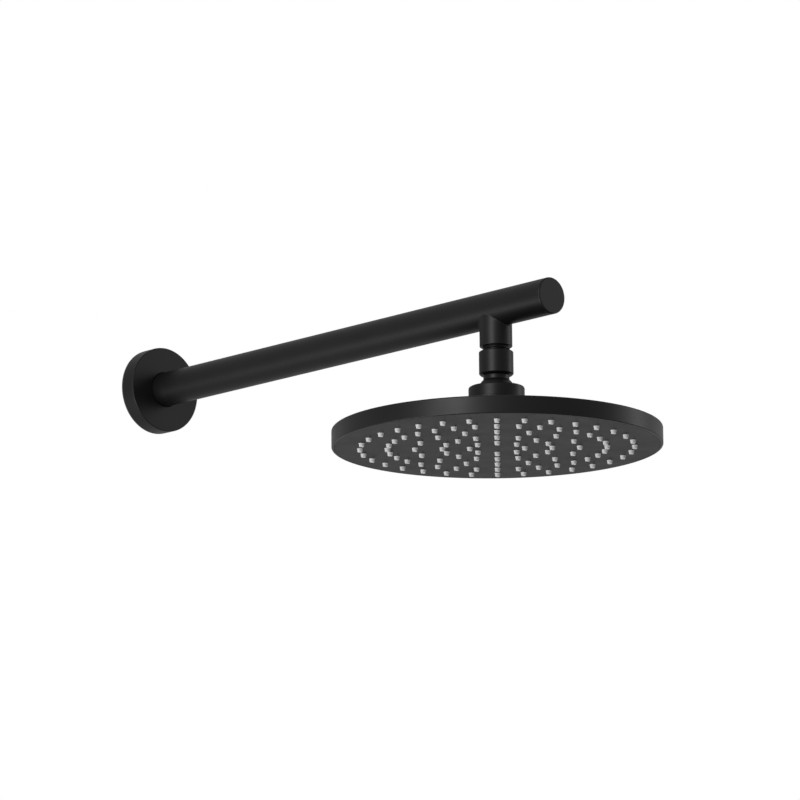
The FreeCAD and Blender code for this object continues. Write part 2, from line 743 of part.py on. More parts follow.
def nozzle_mat():
    """Silicone sheet behind the face plate, moulded in one piece with its nozzles."""
    top = mat_top - SEAL_SQUEEZE
    low = face_top + SEAL_SQUEEZE
    outlet = rim_foot - NOZZLE_STAND
    root_r, bore_r = NOZZLE_ROOT_D / 2, NOZZLE_BORE_D / 2
    sheet = drop_cylinder(chamber_wall_r - SEAL_SQUEEZE, low, top)
    nozzle = Part.makeCylinder(root_r, low + MAT_THICK / 2 - rim_foot, V(0, 0, rim_foot))
    cone = Part.makeCone(NOZZLE_TIP_D / 2, NOZZLE_BASE_D / 2, NOZZLE_STAND, V(0, 0, outlet))
    nozzle = nozzle.fuse(cone)
    bore = Part.makeCylinder(bore_r, top - outlet + 2, V(0, 0, outlet - 1))
    nozzles, bores = [], []
    for x, y in nozzle_places():
        place = V(x, y - REACH, 0)
        nozzles.append(nozzle.translated(place))
        bores.append(bore.translated(place))
    return sheet.fuse(nozzles).removeSplitter().cut(Part.makeCompound(bores))


def case_screws():
    """Screws that clamp the chamber to the face plate's posts."""
    top = flange_top + SEAL_SQUEEZE
    screws = []
    for x, y in around(post_circle_r, CASE_SCREW_COUNT):
        head = drop_cylinder(CASE_SCREW_HEAD_D / 2, top, top + CASE_SCREW_HEAD, x, y)
        shank = drop_cylinder(CASE_SCREW_D / 2, top - CASE_SCREW_LENGTH, top, x, y)
        slots = []
        for long_x in (True, False):
            width = CASE_SCREW_HEAD_D * 0.55 if long_x else CASE_SCREW_SLOT
            depth = CASE_SCREW_SLOT if long_x else CASE_SCREW_HEAD_D * 0.55
            corner = V(x - width / 2, y - REACH - depth / 2, top + CASE_SCREW_HEAD / 2)
            slots.append(Part.makeBox(width, depth, CASE_SCREW_HEAD, corner))
        screws.append(head.fuse(shank).removeSplitter().cut(slots))
    return Part.makeCompound(screws)


NODES = {
    "wall_plate": wall_plate,
    "inlet_nipple": inlet_nipple,
    "plate_o_rings": plate_o_rings,
    "set_screws": set_screws,
    "wall_flange": wall_flange,
    "flange_grip_ring": flange_grip_ring,
    "flange_gasket": flange_gasket,
    "arm_tube": arm_tube,
    "end_cap": end_cap,
    "branch_outlet": branch_outlet,
    "ball_stem": ball_stem,
    "filter_screen": filter_screen,
    "inlet_washer": inlet_washer,
    "flow_regulator": flow_regulator,
    "seat_ring": seat_ring,
    "retaining_collar": retaining_collar,
    "ball_seal": ball_seal,
    "head_cover": head_cover,
    "water_chamber": water_chamber,
    "case_screws": case_screws,
    "nozzle_mat": nozzle_mat,
    "face_plate": face_plate,
}


def main():
    """Builds every node and writes one STEP file for each."""
    os.makedirs("parts", exist_ok=True)
    for name, build in NODES.items():
        shape = build()
        shape.exportStep(f"parts/{name}.step")
        print(f"{name}: {len(shape.Solids)} solid(s), {shape.Volume:.1f} mm3, valid {shape.isValid()}")


main()
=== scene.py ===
"""Looks of a wall-mounted rain shower: arm, wall flange, ball coupling and round head.

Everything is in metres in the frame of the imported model: the wall is the plane y = 0, the arm
runs along -Y and the spray leaves along -Z.
"""

import logging
import math
from collections.abc import Iterable, Sequence
from dataclasses import dataclass, field
from enum import Enum

import bmesh
import bpy
from mathutils import Matrix, Quaternion, Vector


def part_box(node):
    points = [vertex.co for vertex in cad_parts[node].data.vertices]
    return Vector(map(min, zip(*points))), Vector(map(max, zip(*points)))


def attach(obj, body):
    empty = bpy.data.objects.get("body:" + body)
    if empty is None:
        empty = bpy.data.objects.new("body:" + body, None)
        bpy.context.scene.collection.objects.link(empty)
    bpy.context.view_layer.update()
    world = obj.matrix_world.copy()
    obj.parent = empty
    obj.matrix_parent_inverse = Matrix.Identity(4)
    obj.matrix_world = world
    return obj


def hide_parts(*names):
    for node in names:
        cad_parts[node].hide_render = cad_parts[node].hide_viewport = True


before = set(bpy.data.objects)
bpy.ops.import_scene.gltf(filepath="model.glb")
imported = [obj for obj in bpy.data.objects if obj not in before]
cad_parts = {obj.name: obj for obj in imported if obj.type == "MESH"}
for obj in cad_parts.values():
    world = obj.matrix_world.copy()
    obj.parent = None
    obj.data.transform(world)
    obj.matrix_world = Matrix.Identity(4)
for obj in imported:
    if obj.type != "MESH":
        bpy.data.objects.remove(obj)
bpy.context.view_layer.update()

log = logging.getLogger("rain_shower")

MM = 0.001
MICRON = 0.001 * MM
FULL_TURN = 2 * math.pi
SHARP_ANGLE = math.radians(32)
TUBE_SEGMENTS = 160
FLANGE_SEGMENTS = 192
RIM_SEGMENTS = 288
DRILL_SIDES = 48
FIT = 0.05 * MM

Colour = tuple[float, float, float]
Point = tuple[float, float]


class Axis(Enum):
    """The two axes that the round pieces are turned about."""

    ARM = "arm"
    DROP = "drop"

    def place(self, radius: float, along: float, turn: float) -> Vector:
        """A point of a turned piece.

        Args:
            radius: Distance from the axis.
            along: Distance from the wall on the arm, or height on the drop.
            turn: Angle about the axis, in radians.

        Returns:
            The point in the model's frame.
        """
        across, up = radius * math.cos(turn), radius * math.sin(turn)
        if self is Axis.ARM:
            return Vector((across, -along, up))
        return Vector((across, up - HEAD_AXIS, along))


def size_of(node: str) -> Vector:
    """Width, depth and height of a CAD node."""
    low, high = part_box(node)
    return high - low


def distance_to(node: str) -> float:
    """Distance from the wall to the middle of a CAD node."""
    low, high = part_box(node)
    return -(low.y + high.y) / 2


HEAD_AXIS = distance_to("ball_stem")


# ---- outlines and meshes --------------------------------------------------------------------
@dataclass(frozen=True)
class Corner:
    """One corner of a turned piece's outline."""

    radius: float
    along: float
    rounding: float = 0.0


def arc_through(start: Point, via: Point, end: Point, steps: int) -> list[Corner]:
    """Corners on the arc that goes from start through via to end.

    Args:
        start: First point, as radius and distance along the axis.
        via: A point that the arc passes.
        end: Last point.
        steps: How many pieces the arc is cut into.

    Returns:
        The corners, both ends included.
    """
    (ax, ay), (bx, by), (cx, cy) = start, via, end
    double_area = 2 * (ax * (by - cy) + bx * (cy - ay) + cx * (ay - by))
    a2, b2, c2 = ax * ax + ay * ay, bx * bx + by * by, cx * cx + cy * cy
    centre_x = (a2 * (by - cy) + b2 * (cy - ay) + c2 * (ay - by)) / double_area
    centre_y = (a2 * (cx - bx) + b2 * (ax - cx) + c2 * (bx - ax)) / double_area
    radius = math.hypot(ax - centre_x, ay - centre_y)
    first = math.atan2(ay - centre_y, ax - centre_x)
    middle = (math.atan2(by - centre_y, bx - centre_x) - first) % FULL_TURN
    last = (math.atan2(cy - centre_y, cx - centre_x) - first) % FULL_TURN
    if middle > last:
        last -= FULL_TURN
    turns = [first + last * i / steps for i in range(steps + 1)]
    return [Corner(centre_x + radius * math.cos(t), centre_y + radius * math.sin(t)) for t in turns]


def rounded(corners: Sequence[Corner], steps: int = 6) -> list[Point]:
    """Points of a closed outline with its corners rounded.

    Each rounding is guarded by a point a little way out on both sides, so that the flats beside
    it shade flat.

    Args:
        corners: The outline's corners, in order.
        steps: How many pieces a rounding is cut into.

    Returns:
        The outline's points, as radius and distance along the axis.
    """
    points: list[Point] = []
    for i, corner in enumerate(corners):
        here = Vector((corner.radius, corner.along))
        if corner.rounding <= 0:
            points.append((here.x, here.y))
            continue
        before = corners[i - 1]
        after = corners[(i + 1) % len(corners)]
        back = Vector((before.radius, before.along)) - here
        ahead = Vector((after.radius, after.along)) - here
        half = back.angle(ahead) / 2
        reach = corner.rounding / math.tan(half)
        inward = (back.normalized() + ahead.normalized()).normalized()
        centre = here + inward * corner.rounding / math.sin(half)
        start, end = here + back.normalized() * reach, here + ahead.normalized() * reach
        guard = min(0.35 * corner.rounding, 0.4 * (back.length - reach), 0.4 * (ahead.length - reach))
        points.append(tuple(start + back.normalized() * guard))
        for step in range(steps + 1):
            spoke = (start - centre).slerp(end - centre, step / steps)
            points.append(tuple(centre + spoke.normalized() * corner.rounding))
        points.append(tuple(end + ahead.normalized() * guard))
    return points


def linked(name: str, data: bpy.types.ID) -> bpy.types.Object:
    """Makes an object of the data and links it to the scene."""
    made = bpy.data.objects.new(name, data)
    bpy.context.scene.collection.objects.link(made)
    return made


def smooth(mesh: bpy.types.Mesh) -> None:
    """Smooths a mesh between its sharp edges."""
    mesh.polygons.foreach_set("use_smooth", [True] * len(mesh.polygons))
    mesh.set_sharp_from_angle(angle=SHARP_ANGLE)


def finish_mesh(mesh: bpy.types.Mesh, merge: float = 0.0) -> None:
    """Points a closed mesh's faces outwards, and smooths it between its sharp edges.

    Args:
        mesh: The mesh, changed in place.
        merge: Distance under which its points become one, or 0 to leave them.
    """
    shape = bmesh.new()
    shape.from_mesh(mesh)
    if merge:
        bmesh.ops.remove_doubles(shape, verts=shape.verts, dist=merge)
    bmesh.ops.recalc_face_normals(shape, faces=shape.faces)
    shape.to_mesh(mesh)
    shape.free()
    smooth(mesh)
    mesh.update()


def new_piece(name: str, points: Iterable[Vector], faces: Iterable[Sequence[int]]) -> bpy.types.Object:
    """Makes an object of points and faces, at the origin.

    Args:
        name: The piece's name.
        points: Its points, in place.
        faces: Its faces, as indices of points.

    Returns:
        The object, linked to the scene.
    """
    mesh = bpy.data.meshes.new(name)
    mesh.from_pydata([tuple(p) for p in points], [], [tuple(f) for f in faces])
    finish_mesh(mesh)
    return linked(name, mesh)


def lofted(name: str, rings: Sequence[Sequence[Vector]]) -> bpy.types.Object:
    """Joins rings of points to a closed shell, the last ring to the first.

    Args:
        name: The piece's name.
        rings: Rings with the same number of points, or with one point where they close on the axis.

    Returns:
        The object.
    """
    points: list[Vector] = []
    starts: list[int] = []
    for ring in rings:
        starts.append(len(points))
        points.extend(ring)
    faces: list[Sequence[int]] = []
    for i, ring in enumerate(rings):
        j = (i + 1) % len(rings)
        other = rings[j]
        a, b = starts[i], starts[j]
        count = max(len(ring), len(other))
        if count == 1:
            continue
        for k in range(count):
            n = (k + 1) % count
            corners = [a + k, a + n, b + n, b + k]
            if len(ring) == 1:
                corners = [a, b + n, b + k]
            elif len(other) == 1:
                corners = [a + k, a + n, b]
            faces.append(corners)
    return new_piece(name, points, faces)


def even_turns(count: int) -> list[float]:
    """Angles spaced evenly over a full turn, in radians."""
    return [FULL_TURN * i / count for i in range(count)]


def turned(name: str, corners: Sequence[Corner], axis: Axis, segments: int = 128) -> bpy.types.Object:
    """Turns an outline about an axis.

    Args:
        name: The piece's name.
        corners: The closed outline.
        axis: What it turns about.
        segments: How many faces go round.

    Returns:
        The object.
    """
    turns = even_turns(segments)
    rings = []
    for radius, along in rounded(corners):
        on_axis = radius < 0.1 * MICRON
        spots = turns[:1] if on_axis else turns
        rings.append([axis.place(0.0 if on_axis else radius, along, t) for t in spots])
    return lofted(name, rings)


def around(radius: float, count: int) -> list[Point]:
    """Points spaced evenly on a circle, as x and y."""
    return [(radius * math.cos(t), radius * math.sin(t)) for t in even_turns(count)]


def prism(name: str, sides: int, radius: float, base: Vector, way: Vector) -> bpy.types.Object:
    """A regular prism or, with many sides, a drill, for carving.

    Args:
        name: The object's name.
        sides: Number of sides.
        radius: Distance from the axis to a corner.
        base: Centre of one end.
        way: From that end to the other.

    Returns:
        The object.
    """
    turn = way.to_track_quat("Z", "Y").to_matrix()
    ring = [base + turn @ Vector((x, y, 0)) for x, y in around(radius, sides)]
    return lofted(name, [[base], ring, [p + way for p in ring], [base + way]])


def evaluated_mesh(piece: bpy.types.Object) -> bpy.types.Mesh:
    """The plain mesh that a piece's modifiers give."""
    bpy.context.view_layer.update()
    graph = bpy.context.evaluated_depsgraph_get()
    return bpy.data.meshes.new_from_object(piece.evaluated_get(graph), depsgraph=graph)


def settle(piece: bpy.types.Object, merge: float = 0.0) -> bpy.types.Object:
    """Turns a piece's modifiers into its own mesh.

    Args:
        piece: The piece, whose modifiers are removed.
        merge: Distance under which points become one.

    Returns:
        The same piece.
    """
    mesh = evaluated_mesh(piece)
    piece.modifiers.clear()
    piece.data = mesh
    finish_mesh(mesh, merge)
    return piece


def carve(piece: bpy.types.Object, cutters: Sequence[bpy.types.Object]) -> bpy.types.Object:
    """Takes the cutters' shapes out of a piece, and removes the cutters."""
    for cutter in cutters:
        cut = piece.modifiers.new(cutter.name, "BOOLEAN")
        cut.operation = "DIFFERENCE"
        cut.solver = "EXACT"
        cut.object = cutter
    settle(piece, 0.2 * MICRON)
    for cutter in cutters:
        bpy.data.objects.remove(cutter)
    return piece


def join(name: str, pieces: Sequence[bpy.types.Object]) -> bpy.types.Object:
    """Joins closed shells to one piece.

    Args:
        name: The new piece's name.
        pieces: The shells, which are removed.

    Returns:
        The piece.
    """
    shape = bmesh.new()
    for piece in pieces:
        shape.from_mesh(piece.data)
        bpy.data.objects.remove(piece)
    mesh = bpy.data.meshes.new(name)
    shape.to_mesh(mesh)
    shape.free()
    smooth(mesh)
    return linked(name, mesh)


# ---- node trees -----------------------------------------------------------------------------
class Graph:
    """A node tree that is filled by adding nodes and feeding their sockets."""

    def __init__(self, tree: bpy.types.NodeTree) -> None:
        """Starts with an empty tree."""
        self.tree = tree
        tree.nodes.clear()

    def feed(self, socket: bpy.types.NodeSocket, value: object) -> None:
        """Links another node's socket to this one, or sets its value."""
        if isinstance(value, bpy.types.NodeSocket):
            self.tree.links.new(value, socket)
        else:
            socket.default_value = value

    def add(self, kind: str, inputs: dict | None = None, **settings: object) -> bpy.types.Node:
        """Adds a node.

        Args:
            kind: The node's type.
            inputs: Values or sockets for its inputs, by the input's name or number.
            settings: Values for its properties.

        Returns:
            The node.
        """
        node = self.tree.nodes.new(kind)
        for key, value in settings.items():
            setattr(node, key, value)
        for key, value in (inputs or {}).items():
            self.feed(node.inputs[key], value)
        return node

    def math(self, operation: str, *values: object) -> bpy.types.NodeSocket:
        """The result of one arithmetic step."""
        node = self.add("ShaderNodeMath", dict(enumerate(values)), operation=operation)
        return node.outputs[0]


class GeometryTree(Graph):
    """A geometry node group with named inputs, for a piece that repeats or follows a rule."""

    def __init__(self, name: str, sizes: dict[str, float]) -> None:
        """Makes the group with a geometry input and one input for each size.

        Args:
            name: The group's name.
            sizes: Input name to value; a whole number makes a whole-number input.
        """
        tree = bpy.data.node_groups.new(name, "GeometryNodeTree")
        super().__init__(tree)
        self.values: dict[str, float] = {}
        face = tree.interface
        face.new_socket("Geometry", in_out="INPUT", socket_type="NodeSocketGeometry")
        for title, value in sizes.items():
            kind = "NodeSocketInt" if isinstance(value, int) else "NodeSocketFloat"
            socket = face.new_socket(title, in_out="INPUT", socket_type=kind)
            self.values[socket.identifier] = value
        paint = face.new_socket("Material", in_out="INPUT", socket_type="NodeSocketMaterial")
        self.paint = paint.identifier
        face.new_socket("Geometry", in_out="OUTPUT", socket_type="NodeSocketGeometry")
        self.given = self.add("NodeGroupInput").outputs

    def merged(self, parts: Iterable[bpy.types.NodeSocket]) -> bpy.types.NodeSocket:
        """The parts as one geometry."""
        whole = self.add("GeometryNodeJoinGeometry")
        for part in parts:
            self.tree.links.new(part, whole.inputs[0])
        return whole.outputs[0]

    def spread(self, points: object, instance: object) -> bpy.types.NodeSocket:
        """The instance, set on every point."""
        inputs = {"Points": points, "Instance": instance}
        return self.add("GeometryNodeInstanceOnPoints", inputs).outputs[0]

    def lifted(self, geometry: bpy.types.NodeSocket, height: object) -> bpy.types.NodeSocket:
        """The geometry, raised to a height."""
        lift = self.add("ShaderNodeCombineXYZ", {"Z": height})
        inputs = {"Geometry": geometry, "Translation": lift.outputs[0]}
        return self.add("GeometryNodeTransform", inputs).outputs[0]

    def end(self, geometry: bpy.types.NodeSocket) -> None:
        """Realizes the instances, sets the material and closes the tree."""
        real = self.add("GeometryNodeRealizeInstances", {"Geometry": geometry})
        painted = self.add(
            "GeometryNodeSetMaterial", {"Geometry": real.outputs[0], "Material": self.given["Material"]}
        )
        self.add("NodeGroupOutput", {"Geometry": painted.outputs[0]})

    def apply(
        self, piece: bpy.types.Object, paint: bpy.types.Material, merge: float = 0.0
    ) -> bpy.types.Object:
        """Runs the tree on a piece and keeps the plain mesh that it makes.

        Args:
            piece: The piece, whose mesh is the tree's geometry.
            paint: The material that the tree sets.
            merge: Distance under which points become one.

        Returns:
            The same piece.
        """
        modifier = piece.modifiers.new(self.tree.name, "NODES")
        modifier.node_group = self.tree
        for identifier, value in self.values.items():
            modifier[identifier] = value
        modifier[self.paint] = paint
        return settle(piece, merge)


# ---- finishes -------------------------------------------------------------------------------
@dataclass(frozen=True)
class Finish:
    """A surface with a fine grain that its bump follows, and slow changes of colour and gloss."""

    name: str
    slot: str
    colour: Colour
    roughness: float
    grain: float = 0.9 * MM
    grain_height: float = 6 * MICRON
    fine_grain: float = 0.28 * MM
    fine_height: float = 2 * MICRON
    drift: float = 0.12
    gloss_drift: float = 0.04
    patch: float = 35 * MM
    metallic: float = 0.0
    specular: float = 0.5

    def material(self) -> bpy.types.Material:
        """The material, made once and then shared."""
        known = bpy.data.materials.get(self.name)
        if known:
            return known
        made = bpy.data.materials.new(self.name)
        made.use_nodes = True
        graph = Graph(made.node_tree)
        shader = graph.add(
            "ShaderNodeBsdfPrincipled",
            {"Metallic": self.metallic, "Specular IOR Level": self.specular},
        )
        where = graph.add("ShaderNodeTexCoord").outputs["Object"]
        graph.feed(shader.inputs["Base Color"], self.tint(graph, where))
        graph.feed(shader.inputs["Roughness"], self.gloss(graph, where))
        graph.feed(shader.inputs["Normal"], self.relief(graph, where))
        self.extras(graph, shader, where)
        graph.add("ShaderNodeOutputMaterial", {"Surface": shader.outputs["BSDF"]})
        made.diffuse_color = (*self.colour, 1.0)
        return made

    def noise(
        self, graph: Graph, where: bpy.types.NodeSocket, size: float, detail: float = 2.0
    ) -> bpy.types.NodeSocket:
        """A noise between 0 and 1 whose patches are about size across."""
        inputs = {"Vector": where, "Scale": 1 / size, "Detail": detail}
        return graph.add("ShaderNodeTexNoise", inputs).outputs["Fac"]

    def tint(self, graph: Graph, where: bpy.types.NodeSocket) -> bpy.types.NodeSocket:
        """Base colour, a little darker and lighter from patch to patch."""
        dark = tuple(c * (1 - self.drift) for c in self.colour)
        light = tuple(min(1.0, c * (1 + self.drift)) for c in self.colour)
        ramp = graph.add("ShaderNodeValToRGB", {"Fac": self.noise(graph, where, self.patch, 5.0)})
        low, high = ramp.color_ramp.elements
        low.position, low.color = 0.3, (*dark, 1.0)
        high.position, high.color = 0.7, (*light, 1.0)
        return ramp.outputs["Color"]

    def gloss(self, graph: Graph, where: bpy.types.NodeSocket) -> bpy.types.NodeSocket:
        """Roughness, which changes slowly over the surface and slightly from grain to grain."""
        broad = self.noise(graph, where, self.patch * 0.6, 4.0)
        fine = self.noise(graph, where, self.grain)
        mixed = graph.math("ADD", graph.math("MULTIPLY", broad, 0.7), graph.math("MULTIPLY", fine, 0.3))
        spread = {
            "Value": mixed,
            "From Min": 0.3,
            "From Max": 0.7,
            "To Min": self.roughness - self.gloss_drift,
            "To Max": self.roughness + self.gloss_drift,
        }
        return graph.add("ShaderNodeMapRange", spread).outputs["Result"]

    def relief(self, graph: Graph, where: bpy.types.NodeSocket) -> bpy.types.NodeSocket:
        """Normal of the grain, coarse and fine."""
        coarse = graph.add(
            "ShaderNodeBump",
            {"Height": self.noise(graph, where, self.grain), "Distance": self.grain_height, "Strength": 1.0},
        )
        fine = {
            "Height": self.noise(graph, where, self.fine_grain, 3.0),
            "Distance": self.fine_height,
            "Strength": 1.0,
            "Normal": coarse.outputs["Normal"],
        }
        return graph.add("ShaderNodeBump", fine).outputs["Normal"]

    def extras(self, graph: Graph, shader: bpy.types.Node, where: bpy.types.NodeSocket) -> None:
        """Whatever else the finish has; nothing on a plain one."""


@dataclass(frozen=True)
class Silicone(Finish):
    """Soft matt silicone, through which a little light passes."""

    softness: float = 0.12
    bleed: float = 0.8 * MM

    def extras(self, graph: Graph, shader: bpy.types.Node, where: bpy.types.NodeSocket) -> None:
        """Lets light into the surface."""
        graph.feed(shader.inputs["Subsurface Weight"], self.softness)
        graph.feed(shader.inputs["Subsurface Radius"], (1.0, 1.0, 1.0))
        graph.feed(shader.inputs["Subsurface Scale"], self.bleed)


@dataclass(frozen=True)
class TurnedMetal(Finish):
    """Bare metal with the fine rings that a lathe leaves about the arm's axis."""

    ring_pitch: float = 0.22 * MM
    ring_height: float = 1.2 * MICRON

    def relief(self, graph: Graph, where: bpy.types.NodeSocket) -> bpy.types.NodeSocket:
        """Normal of the turning marks over the grain."""
        marks = {"Vector": where, "Scale": 1 / (20 * self.ring_pitch), "Distortion": 0.4, "Detail": 1.0}
        rings = graph.add("ShaderNodeTexWave", marks, wave_type="RINGS", rings_direction="Y")
        turned_marks = {
            "Height": rings.outputs["Fac"],
            "Distance": self.ring_height,
            "Strength": 1.0,
            "Normal": super().relief(graph, where),
        }
        return graph.add("ShaderNodeBump", turned_marks).outputs["Normal"]


POWDER_COAT = Finish(
    "matt_black_powder_coat", "black_metal", (0.0028, 0.0028, 0.0029), 0.43,
    grain_height=4 * MICRON, specular=0.16,
)
SHELL_MOULDING = Finish(
    "satin_black_moulding", "black_shell", (0.0028, 0.0028, 0.0029), 0.4,
    grain_height=3 * MICRON, specular=0.16,
)
FACE_MOULDING = Finish(
    "textured_black_face", "black_face", (0.0028, 0.0028, 0.0029), 0.5,
    grain=0.8 * MM, grain_height=14 * MICRON, fine_height=4 * MICRON, specular=0.16,
)
GREY_SILICONE = Silicone(
    "grey_silicone", "grey_silicone", (0.8, 0.8, 0.8), 0.5, grain=0.5 * MM, patch=9 * MM, drift=0.08
)
BRASS = TurnedMetal("turned_brass", "brass", (0.3, 0.215, 0.1), 0.36, metallic=1.0, drift=0.06)
STEEL = TurnedMetal("bright_steel", "stainless", (0.26, 0.26, 0.255), 0.34, metallic=1.0, drift=0.05)
RUBBER = Finish("seal_rubber", "seal_rubber", (0.012, 0.012, 0.012), 0.62, grain=0.4 * MM)
ACETAL = Finish("white_acetal", "seat_plastic", (0.76, 0.75, 0.71), 0.35, drift=0.03, grain=1.2 * MM)
GREY_MOULDING = Finish("dark_grey_moulding", "chamber_plastic", (0.055, 0.055, 0.057), 0.45)


def dress(piece: bpy.types.Object, finish: Finish) -> None:
    """Gives a piece its finish, as its material."""
    piece.data.materials.clear()
    piece.data.materials.append(finish.material())


def dress_node(node: str, finish: Finish) -> None:
    """Gives a CAD node, whose shape stays, its finish."""
    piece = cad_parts[node]
    for slot in piece.material_slots:
        slot.link = "OBJECT"
        slot.material = finish.material()
    log.info("%s keeps its shape, in %s", node, finish.name)


def stand_for(piece: bpy.types.Object, node: str, body: str, finish: Finish) -> None:
    """Gives a piece its finish and the place of a CAD node, on that node's body."""
    dress(piece, finish)
    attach(piece, body)
    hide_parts(node)
    log.info("%s: %d faces on %s", piece.name, len(piece.data.polygons), body)


# ---- threads --------------------------------------------------------------------------------
@dataclass(frozen=True)
class PipeThread:
    """An outside pipe thread, made as a ridge that winds round its root."""

    pitch: float = 1.814 * MM
    depth: float = 1.162 * MM
    crest: float = 0.35 * MM
    steps_per_turn: int = 48
    sink: float = 0.25 * MM
    run_out: float = 0.05

    def ridge(self, name: str, radius: float, length: float, paint: Finish) -> bpy.types.Object:
        """Winds the ridge about +Z from the origin.

        Args:
            name: The object's name.
            radius: Radius over the crests.
            length: Length of the thread.
            paint: Its finish.

        Returns:
            The object.
        """
        turns = (length - self.pitch) / self.pitch
        sizes = {
            "Crest radius": radius,
            "Height": length - self.pitch,
            "Turns": turns,
            "Steps": self.steps_per_turn,
            "Run-out": self.run_out,
        }
        tree = GeometryTree(f"{name}_tree", sizes)
        helix = tree.add(
            "GeometryNodeCurveSpiral",
            {
                "Resolution": tree.given["Steps"],
                "Rotations": tree.given["Turns"],
                "Start Radius": tree.given["Crest radius"],
                "End Radius": tree.given["Crest radius"],
                "Height": tree.given["Height"],
            },
        )
        upright = tree.add("GeometryNodeSetCurveNormal", {"Curve": helix.outputs[0]}, mode="Z_UP")
        along = tree.add("GeometryNodeSplineParameter").outputs["Factor"]
        from_end = tree.math("SUBTRACT", 1.0, along)
        nearest = tree.math("MINIMUM", along, from_end)
        height = tree.add(
            "ShaderNodeMapRange",
            {"Value": nearest, "From Max": tree.given["Run-out"], "To Min": 0.15, "To Max": 1.0},
        )
        tapered = tree.add(
            "GeometryNodeSetCurveRadius", {"Curve": upright.outputs[0], "Radius": height.outputs["Result"]}
        )
        outline = tree.add(
            "GeometryNodeObjectInfo",
            {"Object": self.section(f"{name}_section")},
            transform_space="ORIGINAL",
        )
        section = tree.add("GeometryNodeMeshToCurve", {"Mesh": outline.outputs["Geometry"]})
        swept = tree.add(
            "GeometryNodeCurveToMesh",
            {"Curve": tapered.outputs[0], "Profile Curve": section.outputs[0], "Fill Caps": True},
        )
        tree.end(swept.outputs[0])
        piece = new_piece(name, [], [])
        tree.apply(piece, paint.material(), 0.1 * MICRON)
        bpy.data.objects.remove(bpy.data.objects[f"{name}_section"])
        return piece

    def section(self, name: str) -> bpy.types.Object:
        """The ridge's section: a trapezium, its crest at the origin and its foot inwards."""
        foot = self.depth + self.sink
        half_foot = self.pitch / 2 * 0.98
        half_crest = self.crest / 2
        corners = [(-half_crest, 0.0), (half_crest, 0.0), (half_foot, foot), (-half_foot, foot)]
        mesh = bpy.data.meshes.new(name)
        mesh.from_pydata([(y, x, 0.0) for x, y in corners], [(0, 1), (1, 2), (2, 3), (3, 0)], [])
        return linked(name, mesh)


def move_mesh(piece: bpy.types.Object, matrix: Matrix) -> bpy.types.Object:
    """Puts a piece's mesh in place, and leaves its object at the origin."""
    piece.data.transform(matrix)
    piece.data.update()
    return piece


# ---- at the wall ----------------------------------------------------------------------------
@dataclass
class WallFixing:
    """Plate, inlet nipple, seals and set screws, most of it hidden by the flange."""

    thread: PipeThread = field(default_factory=PipeThread)
    nipple_bore: float = 13.0 * MM
    key_flats: float = 14.0 * MM
    key_depth: float = 6.0 * MM
    lead: float = 1.0 * MM

    def build(self) -> None:
        """Makes the nipple with its real thread, and dresses the rest."""
        self.nipple()
        dress_node("wall_plate", BRASS)
        dress_node("plate_o_rings", RUBBER)
        dress_node("set_screws", STEEL)

    def nipple(self) -> None:
        """Threaded nipple, with a hexagonal socket at its inner end."""
        low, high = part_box("inlet_nipple")
        crest = size_of("inlet_nipple").x / 2
        root = crest - self.thread.depth
        bore = self.nipple_bore / 2
        front, back = -low.y, -high.y
        edge = 0.12 * MM
        body = turned(
            "nipple_core",
            [
                Corner(bore, back, edge),
                Corner(root - self.lead / 2, back, edge),
                Corner(root, back + self.lead / 2),
                Corner(root, front - self.lead / 2),
                Corner(root - self.lead / 2, front, edge),
                Corner(bore, front, edge),
            ],
            Axis.ARM,
        )
        way = Vector((0, self.key_depth, 0))
        key = prism("nipple_key", 6, self.key_flats / math.sqrt(3), Vector((0, low.y - MM, 0)), way)
        carve(body, [key])
        ridge = self.thread.ridge("nipple_ridge", crest, front - back, BRASS)
        to_wall = Matrix.Translation((0, high.y - self.thread.pitch / 2, 0)) @ Matrix.Rotation(
            math.pi / 2, 4, "X"
        )
        move_mesh(ridge, to_wall)
        piece = join("inlet_nipple_threaded", [body, ridge])
        stand_for(piece, "inlet_nipple", "arm", BRASS)


@dataclass
class Flange:
    """Round flange that hides the wall plate, with its gasket and grip ring."""

    wall: float = 2.0 * MM
    face: float = 3.0 * MM
    edge: float = 0.7 * MM
    inner_edge: float = 0.3 * MM
    hub_wall: float = 4.1 * MM
    hub_depth: float = 4.4 * MM
    bore_gap: float = 0.4 * MM
    groove_depth: float = 1.6 * MM
    groove_width: float = 2.2 * MM

    def build(self) -> None:
        """Makes the cup, and dresses the rings."""
        low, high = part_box("wall_flange")
        outer = size_of("wall_flange").x / 2
        bore = size_of("arm_tube").x / 2 + self.bore_gap
        back, front = -high.y, -low.y
        inner = outer - self.wall
        hub_back = front - self.hub_depth
        ceiling = front - self.face
        groove = bore + self.groove_depth
        middle = front - self.hub_depth / 2
        groove_back, groove_front = middle - self.groove_width / 2, middle + self.groove_width / 2
        cup = turned(
            "wall_flange_cup",
            [
                Corner(inner, back, self.inner_edge),
                Corner(outer, back, self.inner_edge),
                Corner(outer, front, self.edge),
                Corner(bore, front, self.inner_edge),
                Corner(bore, groove_front),
                Corner(groove, groove_front),
                Corner(groove, groove_back),
                Corner(bore, groove_back),
                Corner(bore, hub_back, self.inner_edge),
                Corner(bore + self.hub_wall, hub_back, self.inner_edge),
                Corner(bore + self.hub_wall, ceiling, self.inner_edge),
                Corner(inner, ceiling, self.edge),
            ],
            Axis.ARM,
            FLANGE_SEGMENTS,
        )
        stand_for(cup, "wall_flange", "flange", POWDER_COAT)
        dress_node("flange_gasket", RUBBER)
        dress_node("flange_grip_ring", RUBBER)


